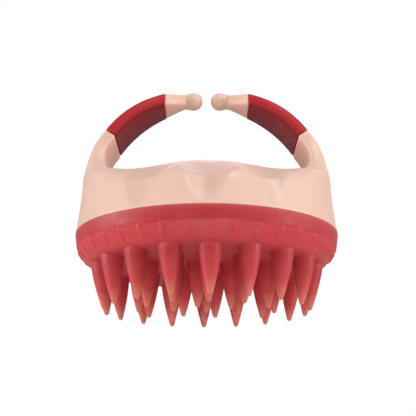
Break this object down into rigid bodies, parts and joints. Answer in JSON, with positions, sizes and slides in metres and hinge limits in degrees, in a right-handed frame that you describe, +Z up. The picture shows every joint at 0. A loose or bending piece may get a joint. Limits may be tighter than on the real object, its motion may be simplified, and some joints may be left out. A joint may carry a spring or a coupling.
{
  "type": "scalp massager brush",
  "caption": "Palm-held scalp massager: a round pad of soft cone bristles under a domed grooved body with two sprung hand straps.",
  "frame": {"origin": "centre of the plane that the bristle tips rest on", "axes": "+Z up, away from the bristles; the arms reach to -X and +X; the front finger grooves face -Y"},
  "size_m": [0.088, 0.088, 0.0778],
  "materials": {
    "shell_pink": "satin moulded",
    "carrier_white": "moulded",
    "seal_black": "matte",
    "screw_steel": "zinc plated",
    "pad_red": "matte silicone",
    "sleeve_red": "soft touch"
  },
  "bodies": {
    "casing": {"top_shell": "shell_pink", "base_plate": "carrier_white", "seal_ring": "seal_black", "plate_screws": "screw_steel", "bristle_pad": "pad_red", "outer_bristles": "pad_red", "middle_bristles": "pad_red", "inner_bristles": "pad_red", "centre_bristle": "pad_red"},
    "left_arm": {"arm_left": "shell_pink", "grip_sleeve_left": "sleeve_red"},
    "right_arm": {"arm_right": "shell_pink", "grip_sleeve_right": "sleeve_red"}
  },
  "joints": [
    {"name": "left_arm_flex", "type": "hinge", "parent": "casing", "child": "left_arm", "pos_m": [-0.0369, 0, 0.045], "axis": [0, -1, 0], "range_deg": [-2.5, 22], "stiffness_Nm_per_rad": 0.6},
    {"name": "right_arm_flex", "type": "hinge", "parent": "casing", "child": "right_arm", "pos_m": [0.0369, 0, 0.045], "axis": [0, 1, 0], "range_deg": [-2.5, 22], "stiffness_Nm_per_rad": 0.6}
  ]
}
